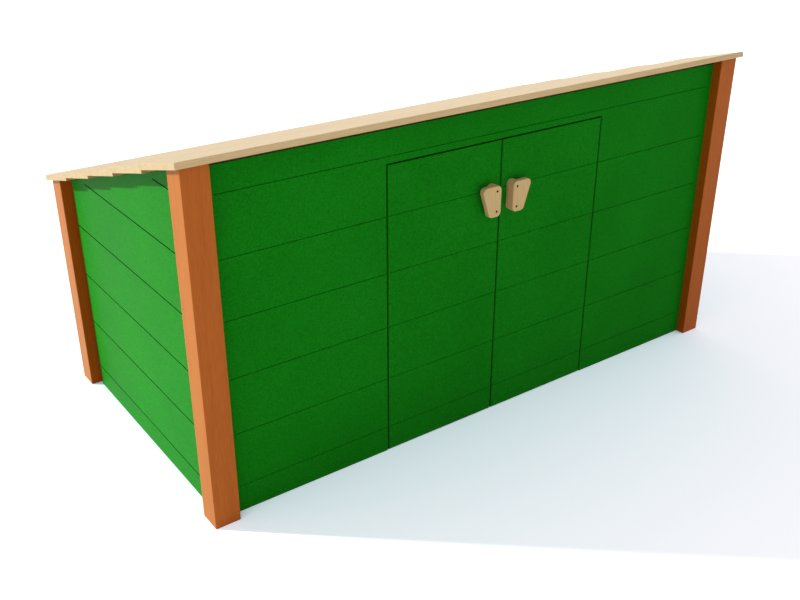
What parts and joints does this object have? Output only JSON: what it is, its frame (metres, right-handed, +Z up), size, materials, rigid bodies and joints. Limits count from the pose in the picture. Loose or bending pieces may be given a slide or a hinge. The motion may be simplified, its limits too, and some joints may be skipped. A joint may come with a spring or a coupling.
{
  "type": "bike shelter",
  "caption": "Low timber bike shelter with grooved green panel walls, square corner posts, a pair of hinged front doors with wooden grips, and a sloping roof of lapped boards.",
  "frame": {"origin": "on the ground in the middle of the roof's plan, level with the soles of the posts", "axes": "+X to the right along the front, +Y from the front to the back, +Z up"},
  "size_m": [2.436, 1.256, 1.2443],
  "materials": {
    "wall_paint": "green paint, satin, with a fine stipple",
    "post_stain": "orange-brown wood stain, satin",
    "roof_wood": "pale planed wood, matt",
    "grip_wood": "pale wood, rounded and sanded",
    "frame_timber": "raw planed softwood",
    "pivot_steel": "zinc-plated steel"
  },
  "bodies": {
    "shelter": {"front_left_post": "post_stain", "front_right_post": "post_stain", "back_left_post": "post_stain", "back_right_post": "post_stain", "front_wall_left": "wall_paint", "front_wall_right": "wall_paint", "front_wall_header": "wall_paint", "left_wall": "wall_paint", "right_wall": "wall_paint", "back_wall": "wall_paint", "front_beam": "frame_timber", "back_beam": "frame_timber", "left_rafter": "frame_timber", "right_rafter": "frame_timber", "middle_left_rafter": "frame_timber", "middle_right_rafter": "frame_timber", "left_bottom_rail": "frame_timber", "right_bottom_rail": "frame_timber", "back_bottom_rail": "frame_timber", "front_left_bottom_rail": "frame_timber", "front_right_bottom_rail": "frame_timber", "left_jamb": "frame_timber", "right_jamb": "frame_timber", "left_bottom_pivot": "pivot_steel", "right_bottom_pivot": "pivot_steel", "left_top_pin": "pivot_steel", "right_top_pin": "pivot_steel", "roof_board_1": "roof_wood", "roof_board_2": "roof_wood", "roof_board_3": "roof_wood", "roof_board_4": "roof_wood", "roof_board_5": "roof_wood"},
    "left_leaf": {"left_door": "wall_paint", "left_top_ledge": "frame_timber", "left_low_ledge": "frame_timber", "left_grip_spacer": "grip_wood", "left_grip": "grip_wood"},
    "right_leaf": {"right_door": "wall_paint", "right_top_ledge": "frame_timber", "right_low_ledge": "frame_timber", "right_grip_spacer": "grip_wood", "right_grip": "grip_wood"}
  },
  "joints": [
    {"name": "left_door_hinge", "type": "hinge", "parent": "shelter", "child": "left_leaf", "pos_m": [-0.424, -0.562, 0.003], "axis": [0, 0, -1], "range_deg": [0, 110]},
    {"name": "right_door_hinge", "type": "hinge", "parent": "shelter", "child": "right_leaf", "pos_m": [0.424, -0.562, 0.003], "axis": [0, 0, 1], "range_deg": [0, 110]}
  ]
}
